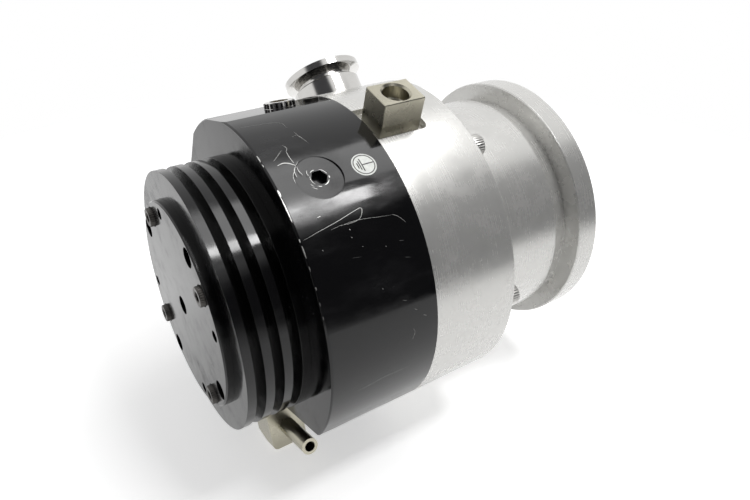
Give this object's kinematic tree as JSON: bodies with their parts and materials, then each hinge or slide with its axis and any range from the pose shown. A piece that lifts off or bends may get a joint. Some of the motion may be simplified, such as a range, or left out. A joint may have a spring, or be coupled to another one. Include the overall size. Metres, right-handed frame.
{
  "type": "turbomolecular pump",
  "caption": "Round high-vacuum turbomolecular pump with a clamped-flange inlet on its axis, a side exhaust port, a finned motor end and side fittings.",
  "frame": {"origin": "centre of the inlet flange's sealing face", "axes": "+Z along the rotor axis, out of the inlet; +X out of the exhaust port; the pump hangs below z = 0"},
  "size_m": [0.1757, 0.1543, 0.191],
  "materials": {
    "turned_aluminium": "satin turned",
    "black_anodised": "glossy anodised",
    "bare_aluminium": "milled",
    "stainless": "polished",
    "screw_steel": "dull zinc",
    "black_steel": "blackened",
    "plated_brass": "nickel plated",
    "bearing_steel": "ground",
    "ceramic": "polished ceramic",
    "phenolic": "phenolic",
    "magnet": "bonded",
    "laminations": "stacked",
    "copper_windings": "enamelled",
    "seal_rubber": "matt",
    "insert_plastic": "matt",
    "pin_gold": "plated"
  },
  "bodies": {
    "pump": {"base_housing": "black_anodised", "connector_insert": "insert_plastic", "connector_pins": "pin_gold", "connector_shell": "black_anodised", "cover_plate": "black_anodised", "cover_screws": "screw_steel", "cover_seal": "seal_rubber", "envelope": "turned_aluminium", "envelope_bolts": "screw_steel", "envelope_seal": "seal_rubber", "exhaust_port": "stainless", "exhaust_seal": "seal_rubber", "finned_housing": "black_anodised", "foreline_ring": "bare_aluminium", "hose_block": "plated_brass", "hose_block_screws": "screw_steel", "hose_block_seal": "seal_rubber", "hose_nozzle": "plated_brass", "housing_screws": "screw_steel", "housing_seal": "seal_rubber", "inlet_screen": "stainless", "lower_bearing_cap": "bare_aluminium", "lower_bearing_outer_race": "bearing_steel", "motor_core": "laminations", "motor_windings": "copper_windings", "preload_spring": "bearing_steel", "purge_screw": "black_steel", "side_plug": "black_anodised", "side_plug_seal": "seal_rubber", "spacer_ring_1": "bare_aluminium", "spacer_ring_2": "bare_aluminium", "spacer_ring_3": "bare_aluminium", "spacer_ring_4": "bare_aluminium", "spacer_ring_5": "bare_aluminium", "spacer_ring_6": "bare_aluminium", "stator_disc_1": "bare_aluminium", "stator_disc_2": "bare_aluminium", "stator_disc_3": "bare_aluminium", "stator_disc_4": "bare_aluminium", "stator_disc_5": "bare_aluminium", "upper_bearing_nut": "bare_aluminium", "upper_bearing_outer_race": "bearing_steel", "vent_block": "plated_brass", "vent_hollow_screw": "stainless", "vent_seal": "seal_rubber"},
    "rotor": {"rotor": "bare_aluminium", "rotor_bolt": "bearing_steel", "shaft": "bearing_steel", "motor_magnet": "magnet", "upper_bearing_inner_race": "bearing_steel", "lower_bearing_inner_race": "bearing_steel"},
    "upper_cage": {"upper_bearing_cage": "phenolic", "upper_bearing_balls": "ceramic"},
    "lower_cage": {"lower_bearing_cage": "phenolic", "lower_bearing_balls": "ceramic"}
  },
  "joints": [
    {"name": "rotor_spin", "type": "hinge", "parent": "pump", "child": "rotor", "pos_m": [0, 0, -0.1], "axis": [0, 0, 1], "continuous": true},
    {"name": "upper_cage_spin", "type": "hinge", "parent": "pump", "child": "upper_cage", "pos_m": [0, 0, -0.0438], "axis": [0, 0, 1], "continuous": true},
    {"name": "lower_cage_spin", "type": "hinge", "parent": "pump", "child": "lower_cage", "pos_m": [0, 0, -0.164], "axis": [0, 0, 1], "continuous": true}
  ],
  "couplings": [
    {"joint": "upper_cage_spin", "follows": "rotor_spin", "ratio": 0.38},
    {"joint": "lower_cage_spin", "follows": "rotor_spin", "ratio": 0.38}
  ]
}
